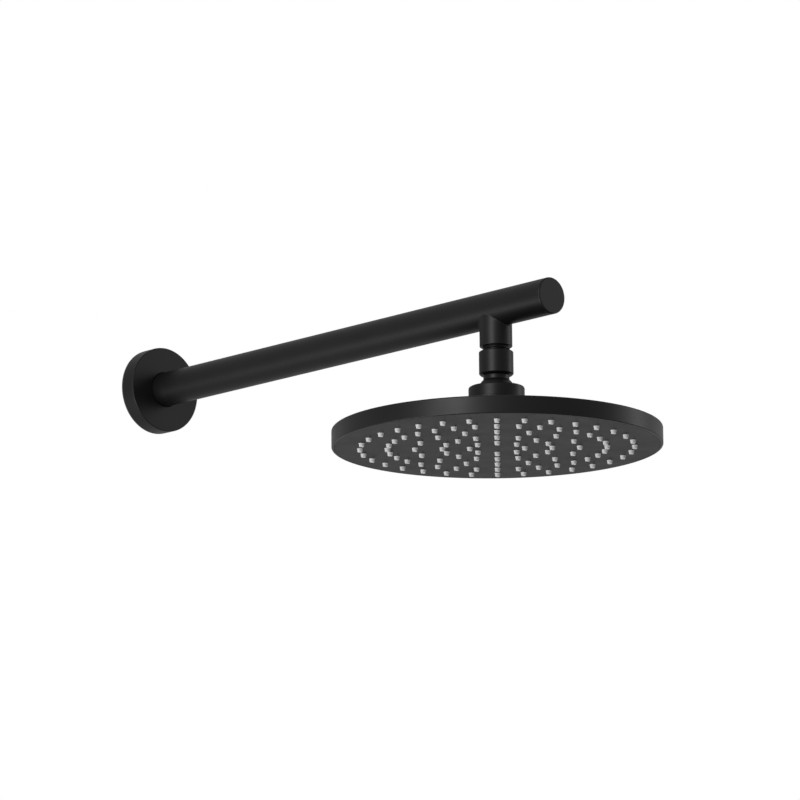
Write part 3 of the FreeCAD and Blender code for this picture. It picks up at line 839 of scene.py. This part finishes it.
# ---- arm ------------------------------------------------------------------------------------
@dataclass
class Arm:
    """Straight tube, end cap, and the branch brazed under it."""

    tube_wall: float = 2.0 * MM
    seam: float = 0.06 * MM
    tip_rounding: float = 1.0 * MM
    cap_wall: float = 3.0 * MM
    braze: float = 1.6 * MM
    braze_steps: int = 8
    branch_bore: float = 13.0 * MM
    branch_edge: float = 0.5 * MM
    shoulder: float = 1.97 * MM
    screw_hole: float = 4.0 * MM
    screw_angles: tuple[float, float] = (235.0, 305.0)
    thread: PipeThread = field(default_factory=PipeThread)

    def build(self) -> None:
        """Makes the three pieces that show."""
        self.tube_radius = size_of("arm_tube").x / 2
        self.tube()
        self.cap()
        self.branch()

    def tube(self) -> None:
        """The tube, with its two tapped holes and the port for the branch."""
        low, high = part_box("arm_tube")
        start, end = -high.y, -low.y
        outer, inner = self.tube_radius, self.tube_radius - self.tube_wall
        screws_at = distance_to("set_screws")
        stations = [start + 1.0 * MM, screws_at + 4 * MM, HEAD_AXIS - 16 * MM, HEAD_AXIS + 16 * MM]
        tube = turned(
            "arm_pipe",
            [
                Corner(inner, start),
                Corner(outer, start, 3 * self.seam),
                *[Corner(outer, at) for at in stations],
                Corner(outer, end, self.seam),
                Corner(inner, end),
                *[Corner(inner, at) for at in reversed(stations)],
            ],
            Axis.ARM,
            TUBE_SEGMENTS,
        )
        cutters = [self.drill("port", Vector((0, -HEAD_AXIS, 0)), Vector((0, 0, -1)), self.branch_bore)]
        for angle in self.screw_angles:
            turn = math.radians(angle)
            out = Vector((math.cos(turn), 0, math.sin(turn)))
            cutters.append(self.drill("tapped_hole", Vector((0, -screws_at, 0)), out, self.screw_hole))
        carve(tube, cutters)
        stand_for(tube, "arm_tube", "arm", POWDER_COAT)

    def drill(self, name: str, base: Vector, out: Vector, width: float) -> bpy.types.Object:
        """A cutter for a round hole through one side of the tube."""
        return prism(name, DRILL_SIDES, width / 2, base, out * (self.tube_radius + MM))

    def cap(self) -> None:
        """The cap that closes the tip, with its plug inside the tube."""
        low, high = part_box("end_cap")
        tip, plug_start = -low.y, -high.y
        seam_at = -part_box("arm_tube")[0].y
        plug = self.tube_radius - self.tube_wall - FIT
        cap = turned(
            "arm_end_cap",
            [
                Corner(0.0, tip),
                Corner(self.tube_radius, tip, self.tip_rounding),
                Corner(self.tube_radius, seam_at, self.seam),
                Corner(plug, seam_at),
                Corner(plug, plug_start, 0.3 * MM),
                Corner(plug - self.cap_wall, plug_start, 0.3 * MM),
                Corner(plug - self.cap_wall, seam_at, 0.3 * MM),
                Corner(0.0, seam_at),
            ],
            Axis.ARM,
            TUBE_SEGMENTS,
        )
        stand_for(cap, "end_cap", "arm", POWDER_COAT)

    def braze_ring(self, share: float, radius: float, turns: Sequence[float]) -> list[Vector]:
        """One ring of the fillet that a ball rolled into the corner would leave.

        Args:
            share: 0 where the fillet meets the tube, 1 where it meets the branch.
            radius: The branch's radius.
            turns: Angles about the branch.

        Returns:
            The ring's points.
        """
        ring = []
        for turn in turns:
            x = (radius + self.braze) * math.cos(turn)
            y = (radius + self.braze) * math.sin(turn)
            z = -math.sqrt((self.tube_radius + self.braze) ** 2 - x * x)
            to_tube = Vector((-x, 0, -z)).normalized()
            to_branch = Vector((-math.cos(turn), -math.sin(turn), 0))
            spoke = to_tube.slerp(to_branch, share)
            ring.append(Vector((x, y - HEAD_AXIS, z)) + spoke * self.braze)
        return ring

    def branch(self) -> None:
        """The outlet under the arm: fillet, barrel, shoulder and threaded spigot."""
        radius = size_of("branch_outlet").x / 2
        crest = radius - self.shoulder
        root = crest - self.thread.depth
        bore = self.branch_bore / 2
        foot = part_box("branch_outlet")[0].z
        shoulder_z = self.shoulder_height()
        turns = even_turns(TUBE_SEGMENTS)

        def saddle(at: float, lift: float) -> list[Vector]:
            """A ring on the tube's surface, at a radius from the branch's axis."""
            ring = []
            for turn in turns:
                x, y = at * math.cos(turn), at * math.sin(turn)
                ring.append(Vector((x, y - HEAD_AXIS, lift - math.sqrt(self.tube_radius**2 - x * x))))
            return ring

        rings = [saddle(bore, 0.05 * MM)]
        rings += [
            self.braze_ring(i / self.braze_steps, radius, turns) for i in range(self.braze_steps + 1)
        ]
        lower = rounded(
            [
                Corner(radius, -self.tube_radius - 3 * MM),
                Corner(radius, shoulder_z, self.branch_edge),
                Corner(root, shoulder_z),
                Corner(root, foot + 0.8 * MM),
                Corner(root - 0.8 * MM, foot),
                Corner(bore, foot),
            ]
        )
        rings += [[Axis.DROP.place(r, z, t) for t in turns] for r, z in lower]
        barrel = lofted("branch_core", rings)
        length = shoulder_z - foot
        ridge = self.thread.ridge("branch_ridge", crest, length, POWDER_COAT)
        move_mesh(ridge, Matrix.Translation((0, -HEAD_AXIS, foot + self.thread.pitch / 2)))
        piece = join("branch_brazed", [barrel, ridge])
        stand_for(piece, "branch_outlet", "arm", POWDER_COAT)

    def shoulder_height(self) -> float:
        """Height of the branch's lower face, over the coupling by the bare stretch of thread."""
        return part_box("ball_stem")[1].z + Coupling.gap


# ---- coupling and ball ----------------------------------------------------------------------
@dataclass
class Coupling:
    """Threaded coupling, neck and ball in one piece, and what it holds inside."""

    gap: float = 3.7 * MM
    wall: float = 2.55 * MM
    body_length: float = 18.4 * MM
    top_chamfer: float = 0.6 * MM
    foot_chamfer: float = 1.1 * MM
    crisp: float = 0.2 * MM
    neck: float = 19.85 * MM
    neck_fillet: float = 0.8 * MM
    flat_cut: float = 0.8 * MM
    water_way: float = 8.0 * MM
    thread_depth: float = 13.3 * MM
    regulator: float = 15.1 * MM
    regulator_depth: float = 4.7 * MM

    def build(self) -> None:
        """Makes the ball stem, and dresses the pieces inside it."""
        self.stem()
        dress_node("filter_screen", STEEL)
        dress_node("inlet_washer", RUBBER)
        dress_node("flow_regulator", ACETAL)

    def ball(self) -> tuple[float, float]:
        """Height of the ball's centre and its radius, from the stem's box."""
        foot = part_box("ball_stem")[0].z
        radius = size_of("ball_stem").x / 2
        return foot + radius - self.flat_cut, radius

    def stem(self) -> None:
        """The turned piece itself."""
        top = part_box("ball_stem")[1].z
        centre, ball = self.ball()
        foot = top - self.body_length
        bore = size_of("branch_outlet").x / 2 - Arm.shoulder + FIT
        body = bore + self.wall
        neck = self.neck / 2
        floor = top - self.thread_depth
        pocket_foot = floor - self.regulator_depth
        flat = centre - ball + self.flat_cut
        flat_radius = math.sqrt(ball**2 - (ball - self.flat_cut) ** 2)
        neck_meet = centre + math.sqrt(ball**2 - neck**2)
        first_turn = math.acos((neck + 0.25 * MM) / ball)
        last_turn = -math.acos(flat_radius / ball)
        steps = 40
        sphere = [
            Corner(ball * math.cos(t), centre + ball * math.sin(t))
            for t in (first_turn + (last_turn - first_turn) * i / steps for i in range(steps + 1))
        ]
        stem = turned(
            "ball_stem_turned",
            [
                Corner(bore, top, self.crisp),
                Corner(body - self.top_chamfer, top, self.crisp),
                Corner(body, top - self.top_chamfer, self.crisp),
                Corner(body, foot + self.foot_chamfer, self.crisp),
                Corner(body - self.foot_chamfer, foot, self.crisp),
                Corner(neck, foot, self.neck_fillet),
                Corner(neck, neck_meet + 0.1 * MM, self.neck_fillet / 2),
                *sphere,
                Corner(self.water_way / 2, flat, self.crisp),
                Corner(self.water_way / 2, pocket_foot),
                Corner(self.regulator / 2, pocket_foot),
                Corner(self.regulator / 2, floor),
                Corner(bore, floor),
            ],
            Axis.DROP,
            TUBE_SEGMENTS,
        )
        stand_for(stem, "ball_stem", "arm", POWDER_COAT)


@dataclass
class BallSeat:
    """Seat ring, seal, and the collar that holds the ball in the head."""

    cavity_gap: float = 0.1 * MM
    seat_thick: float = 1.3 * MM
    collar_top: float = 5.6 * MM
    lip: float = 1.6 * MM
    shoulder: float = 4.2 * MM
    top_rounding: float = 1.5 * MM
    foot_rounding: float = 0.25 * MM
    skirt_wall: float = 2.4 * MM

    def build(self, coupling: Coupling) -> None:
        """Makes the collar, and dresses the rings.

        Args:
            coupling: What the ball belongs to.
        """
        centre, ball = coupling.ball()
        outer = size_of("retaining_collar").x / 2
        seat = ball + self.cavity_gap
        cavity = seat + self.seat_thick + self.cavity_gap
        skirt = cavity + self.skirt_wall
        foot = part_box("retaining_collar")[0].z
        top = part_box("retaining_collar")[1].z
        lip_height = self.collar_top - self.lip

        def on(sphere: float, height: float) -> Point:
            """A point on a sphere about the ball's centre, at a height over it."""
            return math.sqrt(sphere**2 - height**2), centre + height

        inside = arc_through(on(cavity, 0.0), on(cavity, lip_height / 2), on(cavity, lip_height), 6)
        middle = self.collar_top - self.lip / 2
        mouth = arc_through(on(seat, lip_height), on(seat, middle), on(seat, self.collar_top), 4)
        collar = turned(
            "retaining_collar_turned",
            [
                *mouth,
                Corner(outer, top, self.top_rounding),
                Corner(outer, centre - self.shoulder, self.foot_rounding),
                Corner(skirt, centre - self.shoulder),
                Corner(skirt, foot, self.foot_rounding),
                Corner(cavity, foot, self.foot_rounding),
                *inside,
            ],
            Axis.DROP,
            TUBE_SEGMENTS,
        )
        stand_for(collar, "retaining_collar", "head", POWDER_COAT)
        dress_node("seat_ring", ACETAL)
        dress_node("ball_seal", RUBBER)


# ---- head -----------------------------------------------------------------------------------
@dataclass
class ShowerHead:
    """Cover, spray face, nozzles and the water chamber between them."""

    rim_height: float = 13.3 * MM
    cover_wall: float = 2.0 * MM
    rim_top_rounding: float = 1.2 * MM
    rim_foot_rounding: float = 0.8 * MM
    dome_rise: float = 7.0 * MM
    dome_crown: float = 1.6 * MM
    hub_margin: float = 3.6 * MM
    hub_flare: float = 23.0 * MM
    hub_foot: float = 11.6 * MM
    flare_sag: float = 2.6 * MM
    hub_edge: float = 0.6 * MM
    hub_hole_gap: float = 0.3 * MM
    face_thick: float = 2.0 * MM
    face_gap: float = 0.1 * MM
    hole_radius: float = 2.35 * MM
    hole_edge: float = 0.25 * MM
    hole_steps: int = 24
    nozzle_pitch: float = 20.7 * MM
    first_ring: int = 8
    rings: int = 5
    sheet_thick: float = 1.46 * MM
    sheet_gap: float = 0.02 * MM
    nozzle_root: float = 2.25 * MM
    nozzle_base: float = 2.1 * MM
    nozzle_tip: float = 1.78 * MM
    nozzle_mouth: float = 0.85 * MM
    nozzle_bore: float = 0.6 * MM
    mouth_depth: float = 0.8 * MM
    nozzle_steps: int = 16

    def build(self, coupling: Coupling, seat: BallSeat) -> None:
        """Makes the cover, the face and the nozzles, and dresses what is inside.

        Args:
            coupling: What the ball belongs to.
            seat: What the head hangs by.
        """
        self.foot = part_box("head_cover")[0].z
        self.rim_radius = size_of("head_cover").x / 2
        self.cover(coupling, seat)
        self.face()
        self.nozzles()
        dress_node("water_chamber", GREY_MOULDING)
        dress_node("case_screws", STEEL)

    def profile(self, inset: float, hub: float, centre: float) -> list[Corner]:
        """Dome and flare of the cover, from the rim to the hub.

        Args:
            inset: Distance inside the outer surface.
            hub: Radius of the hub's side.
            centre: Height of the ball's centre.

        Returns:
            The corners.
        """
        rim_top = self.foot + self.rim_height
        rim = (self.rim_radius - inset, rim_top - inset)
        dome_end = (hub + self.hub_flare, rim_top + self.dome_rise - inset)
        flare_end = (hub - inset, centre - self.hub_foot - inset)
        dome_mid = ((rim[0] + dome_end[0]) / 2, (rim[1] + dome_end[1]) / 2 + self.dome_crown)
        flare_mid = (
            (dome_end[0] + flare_end[0]) / 2 - self.flare_sag / 2,
            (dome_end[1] + flare_end[1]) / 2 - self.flare_sag,
        )
        dome = arc_through(rim, dome_mid, dome_end, 24)
        flare = arc_through(dome_end, flare_mid, flare_end, 16)
        return dome[1:] + flare[1:]

    def cover(self, coupling: Coupling, seat: BallSeat) -> None:
        """The shell: rim, dome and hub."""
        centre, ball = coupling.ball()
        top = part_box("head_cover")[1].z
        hub = size_of("retaining_collar").x / 2 + self.hub_margin
        cavity = ball + seat.seat_thick + 2 * seat.cavity_gap
        hole = cavity + seat.skirt_wall + self.hub_hole_gap
        rim_top = self.foot + self.rim_height
        inner = self.rim_radius - self.cover_wall
        inside = self.profile(self.cover_wall, hub, centre)
        shell = turned(
            "head_cover_moulded",
            [
                Corner(inner, self.foot, 0.1 * MM),
                Corner(self.rim_radius, self.foot, self.rim_foot_rounding),
                Corner(self.rim_radius, rim_top, self.rim_top_rounding),
                *self.profile(0.0, hub, centre),
                Corner(hub, top, self.hub_edge),
                Corner(hole, top, 0.2 * MM),
                Corner(hole, top - self.cover_wall),
                Corner(hub - self.cover_wall, top - self.cover_wall),
                *reversed(inside),
                Corner(inner, rim_top - self.cover_wall),
            ],
            Axis.DROP,
            RIM_SEGMENTS,
        )
        stand_for(shell, "head_cover", "head", SHELL_MOULDING)

    def hole_points(self, tree: GeometryTree) -> bpy.types.NodeSocket:
        """Points at every nozzle: rings whose counts double at every second ring.

        Args:
            tree: A tree with inputs Pitch and First ring.

        Returns:
            The socket with the points, about the origin.
        """
        circles = []
        for ring in reversed(range(1, self.rings + 1)):
            count = tree.math("MULTIPLY", tree.given["First ring"], float(2 ** (ring // 2)))
            circle = tree.add(
                "GeometryNodeMeshCircle",
                {"Vertices": count, "Radius": tree.math("MULTIPLY", tree.given["Pitch"], float(ring))},
            )
            circles.append(circle.outputs["Mesh"])
        return tree.add("GeometryNodeMeshToPoints", {"Mesh": tree.merged(circles)}).outputs[0]

    def face(self) -> None:
        """Spray plate with a softened hole for each nozzle, made by a tree of filled circles."""
        sizes = {
            "Pitch": self.nozzle_pitch,
            "First ring": self.first_ring,
            "Radius": self.rim_radius - self.cover_wall - self.face_gap,
            "Thickness": self.face_thick,
            "Hole radius": self.hole_radius,
            "Hole edge": self.hole_edge,
            "Hole steps": self.hole_steps,
        }
        tree = GeometryTree("spray_face_tree", sizes)
        points = self.hole_points(tree)
        given = tree.given
        bevel = given["Hole edge"]

        def hoop(radius: bpy.types.NodeSocket, count: object, height: object) -> bpy.types.NodeSocket:
            """A circle's curve at a height."""
            ring = tree.add("GeometryNodeCurvePrimitiveCircle", {"Resolution": count, "Radius": radius})
            return tree.lifted(ring.outputs[0], height)

        def sheet(rim: object, hole: object, height: object) -> bpy.types.NodeSocket:
            """A flat face with its holes, at a height."""
            holes = tree.spread(points, hoop(hole, given["Hole steps"], height))
            real = tree.add("GeometryNodeRealizeInstances", {"Geometry": holes}).outputs[0]
            both = tree.merged([real, hoop(rim, RIM_SEGMENTS, height)])
            filled = tree.add("GeometryNodeFillCurve", {"Curve": both}, mode="TRIANGLES")
            flat = tree.add("GeometryNodeSetPosition", {"Geometry": filled.outputs[0]})
            place = tree.add("ShaderNodeSeparateXYZ", {0: tree.add("GeometryNodeInputPosition").outputs[0]})
            level = tree.add(
                "ShaderNodeCombineXYZ", {"X": place.outputs["X"], "Y": place.outputs["Y"], "Z": height}
            )
            tree.feed(flat.inputs["Position"], level.outputs[0])
            return flat.outputs[0]

        wide_hole = tree.math("ADD", given["Hole radius"], bevel)
        near_rim = tree.math("SUBTRACT", given["Radius"], bevel)
        levels = [0.0, bevel, given["Thickness"]]
        hole_widths = [wide_hole, given["Hole radius"], given["Hole radius"]]
        rim_widths = [near_rim, given["Radius"], given["Radius"]]

        def wall(widths: Sequence[object], count: object) -> bpy.types.NodeSocket:
            """Side wall of a hole or of the plate, one band between each two levels."""
            bands = []
            for i in range(len(levels) - 1):
                depth = tree.math("SUBTRACT", levels[i + 1], levels[i])
                cone = tree.add(
                    "GeometryNodeMeshCone",
                    {
                        "Vertices": count,
                        "Radius Top": widths[i + 1],
                        "Radius Bottom": widths[i],
                        "Depth": depth,
                    },
                    fill_type="NONE",
                )
                bands.append(tree.lifted(cone.outputs["Mesh"], levels[i]))
            return tree.merged(bands)

        parts = [
            sheet(near_rim, wide_hole, 0.0),
            sheet(given["Radius"], given["Hole radius"], given["Thickness"]),
            wall(rim_widths, RIM_SEGMENTS),
            tree.spread(points, wall(hole_widths, given["Hole steps"])),
        ]
        tree.end(tree.merged(parts))
        plate = new_piece("spray_face", [], [])
        tree.apply(plate, FACE_MOULDING.material(), 25 * MICRON)
        move_mesh(plate, Matrix.Translation((0, -HEAD_AXIS, self.foot)))
        stand_for(plate, "face_plate", "head", FACE_MOULDING)

    def nozzle_outline(self) -> list[Corner]:
        """Outline of one nozzle, from its outlet at height 0 up into the sheet."""
        stand = self.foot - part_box("nozzle_mat")[0].z
        top = stand + self.face_thick + self.sheet_thick / 2
        return [
            Corner(self.nozzle_mouth, 0.0, 0.12 * MM),
            Corner(self.nozzle_tip, 0.0, 0.35 * MM),
            Corner(self.nozzle_base, stand - 0.5 * MM, 0.2 * MM),
            Corner(self.nozzle_root, stand - 0.15 * MM, 0.1 * MM),
            Corner(self.nozzle_root, top),
            Corner(0.0, top),
            Corner(0.0, self.mouth_depth + 1.0 * MM),
            Corner(self.nozzle_bore, self.mouth_depth + 1.0 * MM),
            Corner(self.nozzle_bore, self.mouth_depth),
        ]

    def nozzles(self) -> None:
        """Silicone sheet with a nozzle at every hole, set by a tree."""
        sizes = {"Pitch": self.nozzle_pitch, "First ring": self.first_ring}
        tree = GeometryTree("nozzle_rings_tree", sizes)
        tree.end(tree.spread(self.hole_points(tree), tree.given["Geometry"]))
        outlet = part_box("nozzle_mat")[0].z
        turns = even_turns(self.nozzle_steps)
        rings = []
        for radius, height in rounded(self.nozzle_outline(), 3):
            spots = turns if radius > 0 else turns[:1]
            rings.append([Vector((radius * math.cos(t), radius * math.sin(t), height)) for t in spots])
        jets = lofted("nozzle_jets", rings)
        tree.apply(jets, GREY_SILICONE.material())
        move_mesh(jets, Matrix.Translation((0, -HEAD_AXIS, outlet)))
        radius = size_of("nozzle_mat").x / 2
        low = self.foot + self.face_thick + self.sheet_gap
        sheet = turned(
            "nozzle_sheet",
            [
                Corner(0.0, low),
                Corner(radius, low, 0.2 * MM),
                Corner(radius, low + self.sheet_thick, 0.2 * MM),
                Corner(0.0, low + self.sheet_thick),
            ],
            Axis.DROP,
        )
        mat = join("nozzle_mat_moulded", [sheet, jets])
        stand_for(mat, "nozzle_mat", "head", GREY_SILICONE)


# ---- studio ---------------------------------------------------------------------------------
def bearing(azimuth: float, elevation: float) -> Vector:
    """Unit vector at a bearing in degrees, where 0, 0 points straight out from the wall."""
    turn, rise = math.radians(azimuth), math.radians(elevation)
    flat = math.cos(rise)
    return Vector((math.sin(turn) * flat, -math.cos(turn) * flat, math.sin(rise)))


@dataclass(frozen=True)
class SoftBox:
    """A soft rectangular light, placed by its bearing from the object."""

    name: str
    azimuth: float
    elevation: float
    distance: float
    width: float
    height: float
    radiance: float

    def build(self, target: Vector) -> None:
        """Hangs the light so that it faces the target.

        Args:
            target: What it shines on.
        """
        out = bearing(self.azimuth, self.elevation)
        lamp = bpy.data.lights.new(self.name, "AREA")
        lamp.shape = "RECTANGLE"
        lamp.size, lamp.size_y = self.width, self.height
        lamp.energy = self.radiance * math.pi * self.width * self.height
        holder = linked(self.name, lamp)
        holder.location = target + out * self.distance
        holder.rotation_mode = "QUATERNION"
        holder.rotation_quaternion = out.to_track_quat("Z", "Y")
        holder.visible_camera = False


@dataclass
class Studio:
    """Camera, lights, pale surroundings and floor."""

    aim: Vector = field(default_factory=lambda: Vector((-4.1, -298.5, -54.85)) * MM)
    azimuth: float = -43.63
    elevation: float = -12.04
    roll: float = -0.46
    distance: float = 3.2
    lens: float = 186.4
    floor_depth: float = 4.2
    floor_size: float = 40.0
    ambient: float = 0.6
    lit_share: float = 0.8
    floor_light: float = 0.55
    floor_light_spread: float = 1.2

    def camera(self) -> None:
        """Makes the scene's camera."""
        back = bearing(self.azimuth, self.elevation)
        lens = bpy.data.cameras.new("camera")
        lens.lens = self.lens
        lens.clip_end = 100
        camera = linked("camera", lens)
        camera.location = self.aim + back * self.distance
        camera.rotation_mode = "QUATERNION"
        level = back.to_track_quat("Z", "Y")
        camera.rotation_quaternion = level @ Quaternion((0, 0, 1), math.radians(self.roll))
        bpy.context.scene.camera = camera

    def surroundings(self) -> None:
        """A white void to look at, which gives a soft, even light."""
        world = bpy.data.worlds.new("white_void")
        world.use_nodes = True
        graph = Graph(world.node_tree)
        white = (1.0, 1.0, 1.0, 1.0)
        dim = graph.add("ShaderNodeBackground", {"Color": white, "Strength": self.ambient})
        bright = graph.add("ShaderNodeBackground", {"Color": white, "Strength": 1.0})
        seen = graph.add("ShaderNodeLightPath").outputs["Is Camera Ray"]
        both = graph.add("ShaderNodeMixShader", {0: seen, 1: dim.outputs[0], 2: bright.outputs[0]})
        graph.add("ShaderNodeOutputWorld", {"Surface": both.outputs[0]})
        bpy.context.scene.world = world
        bpy.context.scene.view_settings.view_transform = "Standard"

    def floor(self) -> None:
        """A plain pale floor, far under the object."""
        half = self.floor_size / 2
        square = [(-half, -half), (half, -half), (half, half), (-half, half)]
        corners = [Vector((x, y, -self.floor_depth)) for x, y in square]
        plane = new_piece("floor", corners, [(0, 1, 2, 3)])
        paint = bpy.data.materials.new("pale_floor")
        paint.use_nodes = True
        graph = Graph(paint.node_tree)
        matt = graph.add("ShaderNodeBsdfDiffuse", {"Color": (0.86, 0.86, 0.85, 1.0)})
        graph.add("ShaderNodeOutputMaterial", {"Surface": matt.outputs[0]})
        plane.data.materials.append(paint)
        plane.visible_diffuse = False
        plane.visible_glossy = False

    def lights(self) -> None:
        """Three soft boxes round the head, and one that lights only the floor."""
        target = Vector((0, -HEAD_AXIS, 0)) * self.lit_share
        boxes = [
            SoftBox("key", self.azimuth - 30, 15, 2.5, 1.0, 2.0, 10.0),
            SoftBox("low", self.azimuth - 60, -30, 2.5, 2.0, 1.0, 10.0),
            SoftBox("edge", self.azimuth + 105, 10, 2.5, 0.5, 2.0, 5.0),
        ]
        for box in boxes:
            box.build(target)
        width = self.floor_light_spread * self.floor_size
        above_floor = Vector((0, 0, -self.floor_depth / 2))
        SoftBox("floor_light", 0, 90, 0.0, width, width, self.floor_light).build(above_floor)

    def build(self) -> None:
        """Sets up all of it."""
        self.camera()
        self.surroundings()
        self.floor()
        self.lights()


def main() -> None:
    """Builds the studio and then each sub-assembly, from the wall to the spray face."""
    logging.basicConfig(level=logging.INFO, format="%(name)s: %(message)s")
    Studio().build()
    coupling, seat = Coupling(), BallSeat()
    WallFixing().build()
    Flange().build()
    Arm().build()
    coupling.build()
    seat.build(coupling)
    ShowerHead().build(coupling, seat)


if __name__ == "__main__":
    main()
